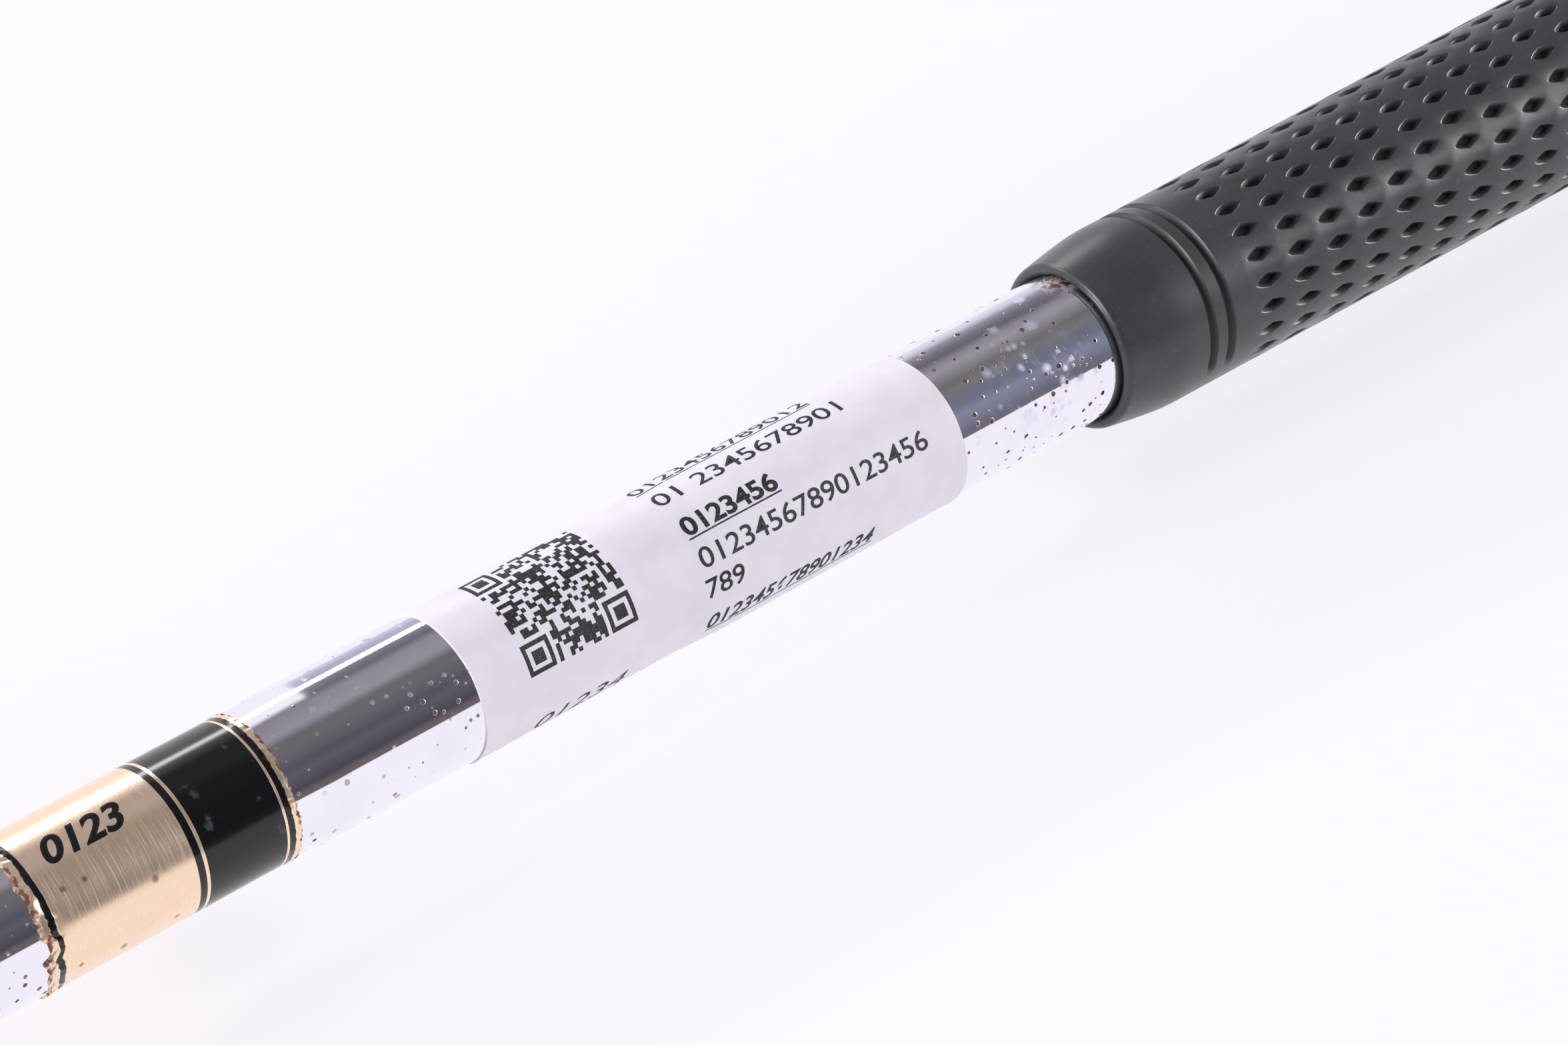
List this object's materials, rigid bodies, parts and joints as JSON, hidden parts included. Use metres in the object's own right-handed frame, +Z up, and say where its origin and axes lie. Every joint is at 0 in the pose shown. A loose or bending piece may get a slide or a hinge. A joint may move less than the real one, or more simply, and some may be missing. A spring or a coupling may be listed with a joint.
{
  "type": "golf fairway wood",
  "caption": "Right-handed fairway wood with a hollow steel head, a stepped chrome steel shaft carrying a gold and black band and a paper stock label, and a dimpled rubber grip.",
  "frame": {"origin": "centre of the footprint of the club as it lies on the floor, on the floor", "axes": "+X along the shaft towards the butt of the grip, -Y towards the toe of the head, +Z up; the head lies face down"},
  "size_m": [1.1328, 0.0962, 0.076],
  "materials": {
    "grip_rubber": "matte",
    "cap_rubber": "matte",
    "tape": "matte",
    "shaft_chrome": "polished",
    "band_foil": "satin",
    "label_paper": "matte",
    "ferrule_plastic": "gloss",
    "epoxy": "gloss",
    "slug_brass": "satin",
    "cork": "matte",
    "head_paint": "gloss",
    "face_steel": "satin",
    "sole_steel": "satin",
    "screw_steel": "satin",
    "foam": "matte"
  },
  "bodies": {
    "root": {"grip_sleeve": "grip_rubber", "grip_cap": "cap_rubber", "grip_tape": "tape", "shaft": "shaft_chrome", "shaft_band": "band_foil", "stock_label": "label_paper", "ferrule": "ferrule_plastic", "hosel_epoxy": "epoxy", "balance_slug": "slug_brass", "slug_cork": "cork", "head_body": "head_paint", "face_plate": "face_steel", "sole_plate": "sole_steel", "fill_screw": "screw_steel", "foam_fill": "foam"}
  },
  "joints": []
}
